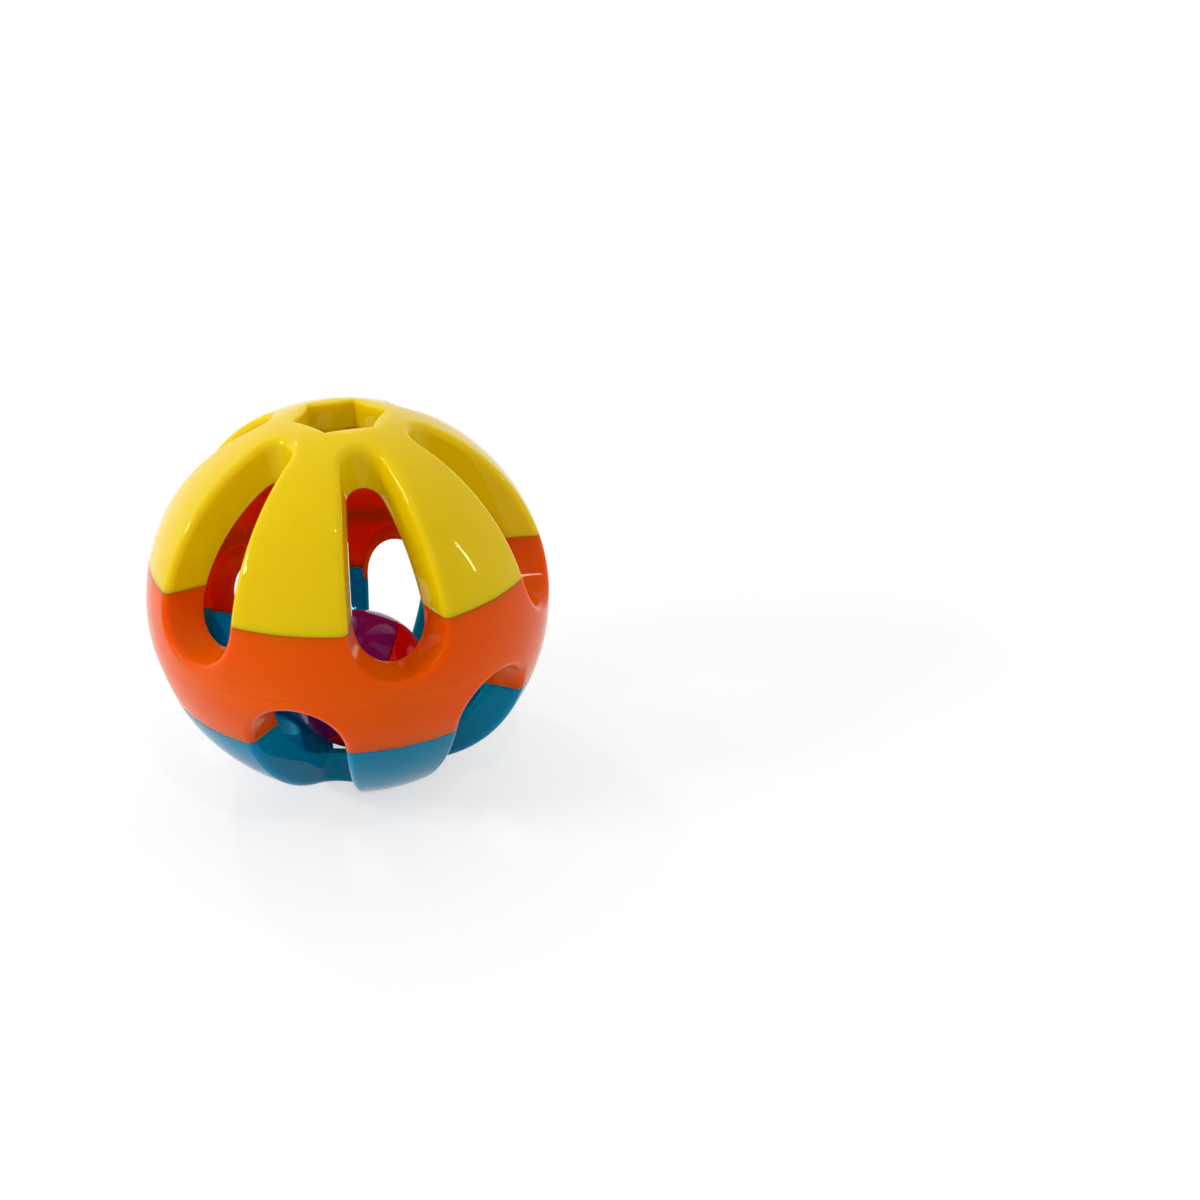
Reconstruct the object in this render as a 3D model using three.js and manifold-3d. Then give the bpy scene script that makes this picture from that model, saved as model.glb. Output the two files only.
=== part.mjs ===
// Cat rattle ball: an open plastic cage with a rattle capsule loose inside it.
// The cage is two half shells, joined at the equator. Each half is a dome and a band of another colour.
// Millimetres. +Z runs through the poles, the origin is the centre of the ball and one upper slot faces -Y.

import * as THREE from 'three';
import { mergeVertices } from 'three/addons/utils/BufferGeometryUtils.js';
import Module from 'manifold-3d';

const wasm = await Module();
wasm.setup();

// Cage sizes
const BALL_RADIUS = 30;
const SHELL_WALL = 1.4;
const COLLAR_WALL = 0.8; // collars stand inwards from the shell, round every slot and pole hole
const SEAM_HEIGHT = 9.3; // equator to the colour seam between band and dome
const SLOT_COUNT = 6; // slots in each half, with the lower ones half a pitch round
const SLOT_WIDTH = 13.85; // across the wide end, on the outer surface
const SLOT_END_HEIGHT = 1.95; // equator to the wide, rounded end of a slot
const SLOT_END_RISE = 6.8; // height over which the wide end rounds into the sides
const SLOT_POLE_DISTANCE = 10.2; // pole axis to the narrow, rounded end of a slot
const SLOT_LIP = 1.05; // radius of the rounded outer edge of a slot
const SLOT_DEPTH = 5.4; // outer surface to the inner rim of a slot's collar
const POLE_HOLE_FLATS = 11.4; // six-sided hole at each pole, across its flats
const POLE_HOLE_LIP = 0.8; // radius of the rounded outer edge of a pole hole
const POLE_HOLE_DEPTH = 4.2; // standing face to the inner rim of a pole hole's collar
const POLE_LAND = 0.6; // width of the flat rim round a pole hole, on which the ball stands

// Tongues inside the shell, which lap over the joints between the cage pieces
const TONGUE_WIDTH = 6;
const TONGUE_THICKNESS = 1.2;
const TONGUE_LAP = 2.4; // how far a tongue reaches past its joint
const TONGUE_CLEARANCE = 0.5; // tongue to the shell that it laps
const SEAM_TONGUE_ROOT = 3; // colour seam to the top of a dome's tongue, which ends in its shell

// Rattle capsule
const RATTLE_RADIUS = 11;
const RATTLE_WALL = 1.3;
const RATTLE_SPIGOT = 1.4; // height of the ring that centres one half in the other
const RATTLE_SEAM_GAP = 0.2;
const SPIGOT_CLEARANCE = 0.2;
const SLIT_COUNT = 4; // sound slits round the pole of one half
const SLIT_LENGTH = 6;
const SLIT_WIDTH = 1.1;
const SLIT_DISTANCE = 6.6; // pole of the half to the middle of a slit, along the surface
const RATTLE_TIP = THREE.MathUtils.degToRad(126.4); // slotted pole, from straight up
const RATTLE_TURN = THREE.MathUtils.degToRad(-19); // slotted pole, round from +X
const SEAT_GAP = 0.3; // rattle to the rim of the pole hole it rests on

// Pellets
const PELLET_COUNT = 5;
const PELLET_DIAMETER = 2.6;
const PELLET_SPACING = 2.9; // from one pellet's lane to the next
const PELLET_GAP = 0.3; // pellet to the inside of the capsule

// Facets
const ROUND_STEPS = 36;
const RATTLE_STEPS = 24;
const OUTER_ARC_STEP = THREE.MathUtils.degToRad(7.5);
const HIDDEN_ARC_STEP = THREE.MathUtils.degToRad(13);
const WIDE_END_STEPS = 12;
const NARROW_END_STEPS = 6;
const SLOT_SIDE_STEPS = 4;
const LIP_STEPS = 2;
const SLIT_END_STEPS = 5;

// Sizes that follow from those above
const SHELL_INSIDE = BALL_RADIUS - SHELL_WALL;
const COLLAR_ROOT = SHELL_WALL / 2; // depth below the outer surface at which collars end, in the shell
const SLOT_PITCH = 2 * Math.PI / SLOT_COUNT;
const SLOT_HALF_ANGLE = Math.asin(SLOT_WIDTH / 2 / BALL_RADIUS);
const POLE_HOLE_INRADIUS = POLE_HOLE_FLATS / 2;
const LAND_EDGE = POLE_HOLE_INRADIUS + POLE_HOLE_LIP + POLE_LAND;
const STANDING_HEIGHT = Math.sqrt(BALL_RADIUS ** 2 - LAND_EDGE ** 2);
const SEAM_ANGLE = Math.asin(SEAM_HEIGHT / BALL_RADIUS); // latitude of the seam on the outer surface
const SEAM_INNER = Math.sqrt(SHELL_INSIDE ** 2 - SEAM_HEIGHT ** 2);
const RATTLE_INSIDE = RATTLE_RADIUS - RATTLE_WALL;
const SPIGOT_OUTER = RATTLE_INSIDE + (RATTLE_WALL - SPIGOT_CLEARANCE) / 2;
const HOLE_RIM_HEIGHT = STANDING_HEIGHT - POLE_HOLE_DEPTH;
const SEAT_HEIGHT = Math.sqrt((RATTLE_RADIUS + SEAT_GAP) ** 2 - POLE_HOLE_INRADIUS ** 2);
const RATTLE_HEIGHT = SEAT_HEIGHT - HOLE_RIM_HEIGHT; // centre of the resting rattle, below the equator
const PELLET_PATH = RATTLE_INSIDE - PELLET_GAP - PELLET_DIAMETER / 2;
const CUT_REACH = BALL_RADIUS; // how far a slot cutter's point stands out, to clear the curve of the ball

// Finishes
const finish = (colour) => new THREE.MeshStandardMaterial({ color: colour, roughness: 0.25, metalness: 0 });
const YELLOW = finish('#f3cf00');
const ORANGE = finish('#ec5a06');
const TEAL = finish('#0b86a8');
const RED = finish('#d5101a');
const PURPLE = finish('#5b1d8c');
const IVORY = finish('#efe9dc');

// A closed geometry as a solid, with shared corners welded and collapsed triangles left out.
function toSolid(geometry) {
  const bare = geometry.clone();
  bare.deleteAttribute('normal');
  bare.deleteAttribute('uv');
  const welded = mergeVertices(bare);
  const corners = welded.index.array;
  const triangles = [];
  for (let i = 0; i < corners.length; i += 3) {
    const [a, b, c] = corners.slice(i, i + 3);
    if (a !== b && b !== c && c !== a) triangles.push(a, b, c);
  }
  return new wasm.Manifold(new wasm.Mesh({
    numProp: 3,
    vertProperties: new Float32Array(welded.attributes.position.array),
    triVerts: new Uint32Array(triangles),
  }));
}

function toMesh(name, solid, material) {
  const { vertProperties, triVerts } = solid.getMesh();
  const geometry = new THREE.BufferGeometry();
  geometry.setAttribute('position', new THREE.BufferAttribute(vertProperties, 3));
  geometry.setIndex(new THREE.BufferAttribute(triVerts, 1));
  const mesh = new THREE.Mesh(geometry, material);
  mesh.name = name;
  return mesh;
}

// Copies of a geometry round the pole axis, one to each slot pitch.
function roundThePole(geometry, count = SLOT_COUNT) {
  const copies = [];
  for (let i = 0; i < count; i += 1) {
    copies.push(toSolid(geometry.clone().rotateZ(i * 2 * Math.PI / count)));
  }
  return copies.reduce((all, copy) => all.add(copy));
}

// Points of an arc round the origin, with the distance from the pole axis as x and the height as y.
function arc(radius, from, to, step = HIDDEN_ARC_STEP) {
  const steps = Math.max(2, Math.ceil(Math.abs(to - from) / step));
  const points = [];
  for (let i = 0; i <= steps; i += 1) {
    const angle = from + (to - from) * i / steps;
    points.push(new THREE.Vector2(radius * Math.cos(angle), radius * Math.sin(angle)));
  }
  return points;
}

function onAxis(height) {
  return new THREE.Vector2(0, height);
}

function onPole(height) {
  return new THREE.Vector3(0, 0, height);
}

// A solid turned about Z from a profile that ends on the axis or closes on itself.
function revolve(profile, steps) {
  return toSolid(new THREE.LatheGeometry(profile, steps).rotateX(Math.PI / 2));
}

// Shell of a dome, from the colour seam to the flat land at the pole.
function domeShell() {
  return revolve([
    onAxis(SHELL_INSIDE),
    ...arc(SHELL_INSIDE, Math.PI / 2, Math.asin(SEAM_HEIGHT / SHELL_INSIDE)).slice(1),
    ...arc(BALL_RADIUS, SEAM_ANGLE, Math.asin(STANDING_HEIGHT / BALL_RADIUS), OUTER_ARC_STEP),
    onAxis(STANDING_HEIGHT),
  ], ROUND_STEPS);
}

// Shell of a band, from the equator to the colour seam.
function bandShell() {
  const inside = arc(SHELL_INSIDE, Math.asin(SEAM_HEIGHT / SHELL_INSIDE), 0);
  return revolve([
    ...inside,
    ...arc(BALL_RADIUS, 0, SEAM_ANGLE, OUTER_ARC_STEP),
    inside[0].clone(),
  ], ROUND_STEPS);
}

// A slot has upright sides along radii, a level half-round floor at its wide end and an upright round
// wall at its narrow end, so that the half shell leaves its mould along the pole axis.
// This is its outline on a sphere, seen along +X and clockwise from outside, spread by a lip or a collar.
function slotOutline(radius, spread) {
  const shoulder = SLOT_END_HEIGHT + SLOT_END_RISE;
  const roundCentre = SLOT_POLE_DISTANCE / (1 - Math.sin(SLOT_HALF_ANGLE));
  const roundRadius = roundCentre - SLOT_POLE_DISTANCE;
  const low = Math.asin(shoulder / radius);
  const high = Math.acos(roundCentre * Math.cos(SLOT_HALF_ANGLE) / radius);
  const outline = [];
  const addAt = (across, height) => {
    const level = Math.sqrt(radius ** 2 - height ** 2);
    outline.push(new THREE.Vector3(level * Math.cos(across), level * Math.sin(across), height));
  };
  for (let i = 0; i <= WIDE_END_STEPS; i += 1) {
    const turn = Math.PI * i / WIDE_END_STEPS;
    addAt(SLOT_HALF_ANGLE * Math.cos(turn), shoulder - SLOT_END_RISE * Math.sin(turn));
  }
  for (let i = 1; i < SLOT_SIDE_STEPS; i += 1) {
    addAt(-SLOT_HALF_ANGLE, radius * Math.sin(low + (high - low) * i / SLOT_SIDE_STEPS));
  }
  for (let i = 0; i <= NARROW_END_STEPS; i += 1) {
    const sweep = Math.PI - 2 * SLOT_HALF_ANGLE;
    const turn = -Math.PI / 2 - SLOT_HALF_ANGLE - sweep * i / NARROW_END_STEPS;
    const x = roundCentre + roundRadius * Math.cos(turn);
    const y = roundRadius * Math.sin(turn);
    outline.push(new THREE.Vector3(x, y, Math.sqrt(radius ** 2 - x ** 2 - y ** 2)));
  }
  for (let i = 1; i < SLOT_SIDE_STEPS; i += 1) {
    addAt(SLOT_HALF_ANGLE, radius * Math.sin(high + (low - high) * i / SLOT_SIDE_STEPS));
  }
  return outline.map((point, i) => {
    const before = outline.at(i - 1);
    const after = outline[(i + 1) % outline.length];
    const away = point.clone().cross(after.clone().sub(before)).normalize();
    return point.clone().addScaledVector(away, spread).setLength(radius);
  });
}

// A closed loft through outlines of equal counts, with a point at each end.
function loft(outlines, firstPoint, lastPoint) {
  const count = outlines[0].length;
  const last = outlines.length - 1;
  const points = [...outlines.flat(), firstPoint, lastPoint];
  const first = points.length - 2;
  const corners = [];
  for (let i = 0; i < count; i += 1) {
    const next = (i + 1) % count;
    corners.push(first, i, next);
    corners.push(first + 1, last * count + next, last * count + i);
    for (let ring = 0; ring < last; ring += 1) {
      const here = ring * count;
      const beyond = here + count;
      corners.push(here + i, beyond + i, here + next);
      corners.push(beyond + i, beyond + next, here + next);
    }
  }
  const geometry = new THREE.BufferGeometry().setFromPoints(points);
  geometry.setIndex(corners);
  return geometry;
}

// Sections of a rounded outer edge, by their depth below the surface and their spread to each side.
function roundedEdge(radius) {
  const sections = [];
  for (let i = 0; i <= LIP_STEPS; i += 1) {
    const turn = Math.PI / 2 * i / LIP_STEPS;
    sections.push({ depth: radius * (1 - Math.sin(turn)), spread: radius * (1 - Math.cos(turn)) });
  }
  const [before, edge] = sections.slice(-2);
  const beyond = { depth: 2 * edge.depth - before.depth, spread: 2 * edge.spread - before.spread };
  return [...sections, beyond];
}

// A solid through sections of one slot, facing -Y, with its outer point so far from the centre.
function throughSlot(sections, reach) {
  const outlines = sections.map(({ depth, spread }) => slotOutline(BALL_RADIUS - depth, spread));
  const middle = outlines[0].reduce((sum, point) => sum.add(point), new THREE.Vector3());
  const inner = middle.clone().setLength(BALL_RADIUS - sections[0].depth);
  const outer = middle.clone().setLength(reach);
  return loft(outlines, inner, outer).rotateZ(-Math.PI / 2);
}

// The cutter of one slot: straight through the wall, then rounded outwards to the lip.
function slotCutter() {
  const within = { depth: 1.5 * SLOT_DEPTH, spread: 0 };
  return throughSlot([within, ...roundedEdge(SLOT_LIP)], BALL_RADIUS + CUT_REACH);
}

// The collar of one slot, not yet cut through.
function slotCollar() {
  const rim = { depth: SLOT_DEPTH, spread: COLLAR_WALL };
  const root = { depth: COLLAR_ROOT, spread: COLLAR_WALL };
  return throughSlot([rim, root], BALL_RADIUS - COLLAR_ROOT);
}

// A six-sided outline round the pole with its flats towards the slots, clockwise from outside.
function holeOutline(spread, height) {
  const corner = (POLE_HOLE_INRADIUS + spread) / Math.cos(Math.PI / 6);
  const outline = [];
  for (let i = 0; i < 6; i += 1) {
    const turn = -Math.PI / 3 * i;
    outline.push(new THREE.Vector3(corner * Math.cos(turn), corner * Math.sin(turn), height));
  }
  return outline;
}

// The cutter of a pole hole: straight through the collar, then rounded outwards to the land.
function holeCutter() {
  const within = { depth: 1.5 * POLE_HOLE_DEPTH, spread: 0 };
  const sections = [within, ...roundedEdge(POLE_HOLE_LIP)];
  const outlines = sections.map(({ depth, spread }) => holeOutline(spread, STANDING_HEIGHT - depth));
  return loft(outlines, onPole(STANDING_HEIGHT - within.depth), onPole(BALL_RADIUS + CUT_REACH));
}

// The collar of a pole hole, not yet cut through, up to a level within the shell.
function holeCollar() {
  const top = Math.sqrt((BALL_RADIUS - COLLAR_ROOT) ** 2 - LAND_EDGE ** 2);
  const outlines = [HOLE_RIM_HEIGHT, top].map((height) => holeOutline(COLLAR_WALL, height));
  return loft(outlines, onPole(HOLE_RIM_HEIGHT), onPole(top));
}

// A tongue that faces -Y, inside the shell where that is so far from the pole axis.
function tongue(distance, bottom, top) {
  const face = Math.sqrt((distance - TONGUE_CLEARANCE) ** 2 - (TONGUE_WIDTH / 2) ** 2);
  const box = new THREE.BoxGeometry(TONGUE_WIDTH, TONGUE_THICKNESS, top - bottom);
  return box.translate(0, TONGUE_THICKNESS / 2 - face, (bottom + top) / 2);
}

// Tongues of a dome, in the middle of each rib, which reach down inside the band.
function seamTongues() {
  const one = tongue(SEAM_INNER, SEAM_HEIGHT - TONGUE_LAP, SEAM_HEIGHT + SEAM_TONGUE_ROOT);
  return roundThePole(one.rotateZ(SLOT_PITCH / 2));
}

// Tongues of the upper band, under each slot's collar, which reach down inside the lower band.
function equatorTongues() {
  return roundThePole(tongue(SHELL_INSIDE, -TONGUE_LAP, SLOT_END_HEIGHT - COLLAR_WALL / 2));
}

const slots = roundThePole(slotCutter());
const slotCollars = roundThePole(slotCollar());
const aboveSeam = new THREE.BoxGeometry(4 * BALL_RADIUS, 4 * BALL_RADIUS, 2 * BALL_RADIUS);
const domeSide = toSolid(aboveSeam.translate(0, 0, SEAM_HEIGHT + BALL_RADIUS));
const domeShape = domeShell()
  .add(slotCollars.intersect(domeSide))
  .add(toSolid(holeCollar()))
  .subtract(slots)
  .subtract(toSolid(holeCutter()))
  .add(seamTongues());
const bandShape = bandShell().add(slotCollars.subtract(domeSide)).subtract(slots);

// The lower half is the upper one tipped over, with its slots half a pitch round.
const lowerHalf = new THREE.Group();
lowerHalf.rotation.set(Math.PI, 0, SLOT_PITCH / 2);

function cage() {
  const group = new THREE.Group();
  group.add(toMesh('upper_dome', domeShape, YELLOW));
  group.add(toMesh('upper_band', bandShape.add(equatorTongues()), ORANGE));
  lowerHalf.add(toMesh('lower_band', bandShape, ORANGE));
  lowerHalf.add(toMesh('lower_dome', domeShape, TEAL));
  group.add(lowerHalf);
  return group;
}

// Round-ended slit through the capsule wall, on the meridian towards +X.
function slit() {
  const straight = SLIT_LENGTH / 2 - SLIT_WIDTH / 2;
  const outline = new THREE.Shape();
  outline.absarc(straight, 0, SLIT_WIDTH / 2, -Math.PI / 2, Math.PI / 2);
  outline.absarc(-straight, 0, SLIT_WIDTH / 2, Math.PI / 2, 3 * Math.PI / 2);
  const depth = 4 * RATTLE_WALL;
  const cutter = new THREE.ExtrudeGeometry(outline, { depth, bevelEnabled: false, curveSegments: SLIT_END_STEPS });
  cutter.translate(0, 0, RATTLE_INSIDE - RATTLE_WALL);
  return cutter.rotateY(SLIT_DISTANCE / RATTLE_RADIUS);
}

// Half with the sound slits: its spigot reaches below the seam.
function slottedHalf() {
  const shell = revolve([
    onAxis(RATTLE_INSIDE),
    ...arc(RATTLE_INSIDE, Math.PI / 2, 0).slice(1),
    new THREE.Vector2(RATTLE_INSIDE, -RATTLE_SPIGOT),
    new THREE.Vector2(SPIGOT_OUTER, -RATTLE_SPIGOT),
    new THREE.Vector2(SPIGOT_OUTER, 0),
    ...arc(RATTLE_RADIUS, 0, Math.PI / 2).slice(0, -1),
    onAxis(RATTLE_RADIUS),
  ], RATTLE_STEPS);
  return shell.subtract(roundThePole(slit(), SLIT_COUNT));
}

// Plain half, with the step that takes the spigot.
function plainHalf() {
  const stepRadius = SPIGOT_OUTER + SPIGOT_CLEARANCE;
  const stepDepth = RATTLE_SPIGOT + SPIGOT_CLEARANCE;
  return revolve([
    onAxis(-RATTLE_RADIUS),
    ...arc(RATTLE_RADIUS, -Math.PI / 2, -Math.asin(RATTLE_SEAM_GAP / RATTLE_RADIUS)).slice(1),
    new THREE.Vector2(stepRadius, -RATTLE_SEAM_GAP),
    new THREE.Vector2(stepRadius, -stepDepth),
    ...arc(RATTLE_INSIDE, -Math.asin(stepDepth / RATTLE_INSIDE), -Math.PI / 2).slice(0, -1),
    onAxis(-RATTLE_INSIDE),
  ], RATTLE_STEPS);
}

function rattle() {
  const group = new THREE.Group();
  group.position.z = RATTLE_HEIGHT;
  group.rotation.set(0, RATTLE_TIP, RATTLE_TURN, 'ZYX');
  group.add(toMesh('rattle_slotted_half', slottedHalf(), RED));
  group.add(toMesh('rattle_plain_half', plainHalf(), PURPLE));
  return group;
}

// Pellets lie in a row along X on the bottom of the capsule, each in a lane of its own.
function pellets() {
  const group = new THREE.Group();
  group.position.z = RATTLE_HEIGHT;
  for (let i = 0; i < PELLET_COUNT; i += 1) {
    const pellet = toMesh(
      `rattle_pellet_${i + 1}`,
      toSolid(new THREE.IcosahedronGeometry(PELLET_DIAMETER / 2, 1)),
      IVORY,
    );
    const lane = (i - (PELLET_COUNT - 1) / 2) * PELLET_SPACING;
    pellet.position.set(lane, 0, -Math.sqrt(PELLET_PATH ** 2 - lane ** 2));
    group.add(pellet);
  }
  return group;
}

const ball = new THREE.Group();
ball.add(cage(), rattle(), pellets());

export default ball;
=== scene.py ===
"""Looks of the cat rattle ball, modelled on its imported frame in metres.

The cage is two half shells, each a dome and a band of another colour, with six tapered slots. A rattle
capsule of two halves lies loose in the cage and holds five pellets. +Z runs through the poles.
"""

import logging
import math
from collections.abc import Callable, Iterator
from contextlib import contextmanager
from dataclasses import dataclass
from enum import Enum

import bpy
from mathutils import Matrix, Vector


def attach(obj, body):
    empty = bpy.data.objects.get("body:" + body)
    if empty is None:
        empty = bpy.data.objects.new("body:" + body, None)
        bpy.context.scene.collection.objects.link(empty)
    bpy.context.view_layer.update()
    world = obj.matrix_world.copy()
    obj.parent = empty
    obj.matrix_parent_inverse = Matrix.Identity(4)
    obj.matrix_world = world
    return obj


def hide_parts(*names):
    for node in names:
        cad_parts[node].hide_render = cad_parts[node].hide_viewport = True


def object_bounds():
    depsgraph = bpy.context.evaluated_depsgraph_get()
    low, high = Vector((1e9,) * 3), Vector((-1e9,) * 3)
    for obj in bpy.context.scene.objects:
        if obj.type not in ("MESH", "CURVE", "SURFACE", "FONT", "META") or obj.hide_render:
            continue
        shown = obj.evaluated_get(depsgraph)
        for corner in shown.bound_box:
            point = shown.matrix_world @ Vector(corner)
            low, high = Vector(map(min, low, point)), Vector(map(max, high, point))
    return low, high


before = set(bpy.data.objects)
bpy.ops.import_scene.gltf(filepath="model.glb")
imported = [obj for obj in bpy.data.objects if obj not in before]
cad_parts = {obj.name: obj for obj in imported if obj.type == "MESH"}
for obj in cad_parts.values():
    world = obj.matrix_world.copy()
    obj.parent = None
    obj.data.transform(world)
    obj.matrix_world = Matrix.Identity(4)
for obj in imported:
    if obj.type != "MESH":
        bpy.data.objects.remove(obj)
CAD_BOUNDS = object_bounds()

LOG = logging.getLogger("cat_rattle_ball")

MM = 0.001
QUARTER = math.pi / 2  # a quarter turn
WHITE = (1.0, 1.0, 1.0, 1.0)
MERGE = 0.002 * MM  # points closer than this are one point
TOUCH = 0.0005 * MM  # a point this close to a plane lies on it
ON_ROUND = 0.01 * MM  # a point this close to a sphere lies on it
SMOOTH_ANGLE = math.radians(40)  # sharper edges than this stay crisp
CAPSULE_CENTRE = Vector((0, 0, -15.191 * MM))  # where the capsule lies on the rim of the lower pole hole

# Sockets of a Mix node that mixes colours, which share their names with its other sockets
MIX_SHARE = 0
MIX_FIRST = 6
MIX_SECOND = 7
MIX_RESULT = 2

EdgeTest = Callable[[Vector, Vector], bool]


class Keep(Enum):
    """The side of a cutting plane that stays."""

    BELOW = "below"
    ABOVE = "above"


class Join(Enum):
    """How a boolean joins a tool to a piece."""

    ADD = "UNION"
    CUT = "DIFFERENCE"


def linear(hex_colour: str) -> tuple[float, float, float, float]:
    """Turn an sRGB hex colour into a linear one, by the curve of the sRGB standard.

    Args:
        hex_colour: six hex digits after a hash sign.

    Returns:
        Linear red, green and blue, with full alpha.
    """
    channels = []
    for start in (1, 3, 5):
        value = int(hex_colour[start:start + 2], 16) / 255
        channels.append(value / 12.92 if value <= 0.04045 else ((value + 0.055) / 1.055) ** 2.4)
    return (channels[0], channels[1], channels[2], 1.0)


def per_mm(size: float) -> float:
    """Give the texture scale at which one cell of a pattern has this size in millimetres."""
    return 1 / (size * MM)


def add_node(
    tree: bpy.types.NodeTree, kind: str, inputs: dict[str | int, object] | None = None, **settings: object
) -> bpy.types.Node:
    """Add a shader node, with its settings and what goes into its sockets.

    Args:
        tree: node tree of the material or world.
        kind: Blender's name for the node.
        inputs: for each socket, a value or another node's output.
        settings: the node's own properties.

    Returns:
        The new node.
    """
    node = tree.nodes.new(kind)
    for name, value in settings.items():
        setattr(node, name, value)
    for socket, value in (inputs or {}).items():
        if isinstance(value, bpy.types.NodeSocket):
            tree.links.new(value, node.inputs[socket])
        else:
            node.inputs[socket].default_value = value
    return node


def put_down() -> None:
    """Deselect everything."""
    bpy.ops.object.select_all(action="DESELECT")


def pick_up(piece: bpy.types.Object) -> None:
    """Select one piece alone and make it active.

    Args:
        piece: the object to select.
    """
    put_down()
    piece.select_set(True)
    bpy.context.view_layer.objects.active = piece


@contextmanager
def editing(piece: bpy.types.Object, edges: EdgeTest | None = None) -> Iterator[None]:
    """Open a piece in edit mode, with all of it or some of its edges selected.

    Args:
        piece: the mesh object to edit.
        edges: says from an edge's two ends whether it is selected. Without it all is selected.

    Returns:
        A context in which edit operators act on the selection.
    """
    pick_up(piece)
    bpy.context.tool_settings.mesh_select_mode = (False, True, False)
    mesh = piece.data
    whole = edges is None
    mesh.vertices.foreach_set("select", [whole] * len(mesh.vertices))
    mesh.polygons.foreach_set("select", [whole] * len(mesh.polygons))
    mesh.edges.foreach_set("select", [whole] * len(mesh.edges))
    if edges is not None:
        for edge in mesh.edges:
            ends = [mesh.vertices[index] for index in edge.vertices]
            if edges(ends[0].co, ends[1].co):
                edge.select = True
                ends[0].select = True
                ends[1].select = True
    bpy.ops.object.mode_set(mode="EDIT")
    yield
    bpy.ops.object.mode_set(mode="OBJECT")


def at_level(height: float) -> EdgeTest:
    """Give the test that picks the edges which lie at a height."""
    return lambda a, b: abs(a.z - height) < TOUCH and abs(b.z - height) < TOUCH


def bevel(piece: bpy.types.Object, edges: EdgeTest, width: float, steps: int = 3) -> None:
    """Round the edges that pass a test.

    Args:
        piece: the mesh object.
        edges: picks the edges.
        width: distance from the old edge to where the rounding starts.
        steps: faces across the rounding.
    """
    with editing(piece, edges):
        bpy.ops.mesh.bevel(offset=width, offset_type="OFFSET", segments=steps, profile=0.5, affect="EDGES")


def cut_level(piece: bpy.types.Object, height: float, keep: Keep) -> None:
    """Cut a closed piece at a height, drop one side and close the cut.

    Args:
        piece: the mesh object.
        height: level of the cut.
        keep: the side that stays.
    """
    with editing(piece):
        bpy.ops.mesh.bisect(
            plane_co=(0, 0, height),
            plane_no=(0, 0, 1),
            use_fill=True,
            clear_inner=keep is Keep.ABOVE,
            clear_outer=keep is Keep.BELOW,
            threshold=TOUCH,
        )


def copy_round(piece: bpy.types.Object, count: int) -> None:
    """Repeat a piece's mesh evenly round the Z axis.

    Args:
        piece: the mesh object.
        count: how many there are of it in the end.
    """
    with editing(piece):
        bpy.ops.mesh.spin(
            steps=count - 1,
            dupli=True,
            angle=math.tau * (count - 1) / count,
            center=(0, 0, 0),
            axis=(0, 0, 1),
        )


def close_up(piece: bpy.types.Object) -> None:
    """Merge double points and turn all faces outwards.

    Args:
        piece: the mesh object.
    """
    with editing(piece):
        bpy.ops.mesh.remove_doubles(threshold=MERGE)
        bpy.ops.mesh.normals_make_consistent(inside=False)


def combine(piece: bpy.types.Object, tool: bpy.types.Object, how: Join) -> None:
    """Join a tool to a piece, or cut it out, and remove the tool.

    Args:
        piece: the mesh object that stays.
        tool: the mesh object that is used up.
        how: add or cut.
    """
    pick_up(piece)
    modifier = piece.modifiers.new("tool", "BOOLEAN")
    modifier.operation = how.value
    modifier.solver = "EXACT"
    modifier.object = tool
    bpy.ops.object.modifier_apply(modifier=modifier.name)
    bpy.data.objects.remove(tool)


def copy_of(piece: bpy.types.Object, name: str) -> bpy.types.Object:
    """Copy a piece with a mesh of its own.

    Args:
        piece: the object to copy.
        name: name of the copy and its mesh.

    Returns:
        The copy, in the scene.
    """
    twin = piece.copy()
    twin.data = piece.data.copy()
    twin.name = name
    twin.data.name = name
    bpy.context.scene.collection.objects.link(twin)
    return twin


def smooth(piece: bpy.types.Object, centre: Vector, radii: tuple[float, ...]) -> None:
    """Shade a piece smooth between its crisp edges, with exact normals on its spheres.

    Args:
        piece: the finished mesh object.
        centre: middle of the spheres.
        radii: radii of the spheres that the piece's faces lie on.
    """
    pick_up(piece)
    bpy.ops.object.shade_smooth_by_angle(angle=SMOOTH_ANGLE)
    mesh = piece.data
    normals = [corner.vector.copy() for corner in mesh.corner_normals]
    for face in mesh.polygons:
        for index in face.loop_indices:
            arm = mesh.vertices[mesh.loops[index].vertex_index].co - centre
            if not any(abs(arm.length - radius) < ON_ROUND for radius in radii):
                continue
            outward = arm.normalized()
            facing = outward.dot(face.normal)
            if abs(facing) > math.cos(SMOOTH_ANGLE):
                normals[index] = outward if facing > 0 else -outward
    mesh.normals_split_custom_set(normals)


def lathe(profile: list[tuple[float, float]], steps: int) -> bpy.types.Object:
    """Turn a piece about Z from a profile that starts and ends on the axis.

    Args:
        profile: distance from the axis and height of each point.
        steps: faces round the axis.

    Returns:
        The closed piece, with its faces outwards.
    """
    put_down()
    bpy.ops.mesh.primitive_circle_add(vertices=len(profile), radius=profile[0][1])
    piece = bpy.context.object
    for point, (out, up) in zip(piece.data.vertices, profile):
        point.co = (out, 0, up)
    with editing(piece, lambda a, b: a.x < TOUCH and b.x < TOUCH):
        bpy.ops.mesh.delete(type="EDGE")
    with editing(piece):
        bpy.ops.mesh.spin(steps=steps, angle=math.tau, center=(0, 0, 0), axis=(0, 0, 1))
    close_up(piece)
    return piece


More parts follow.
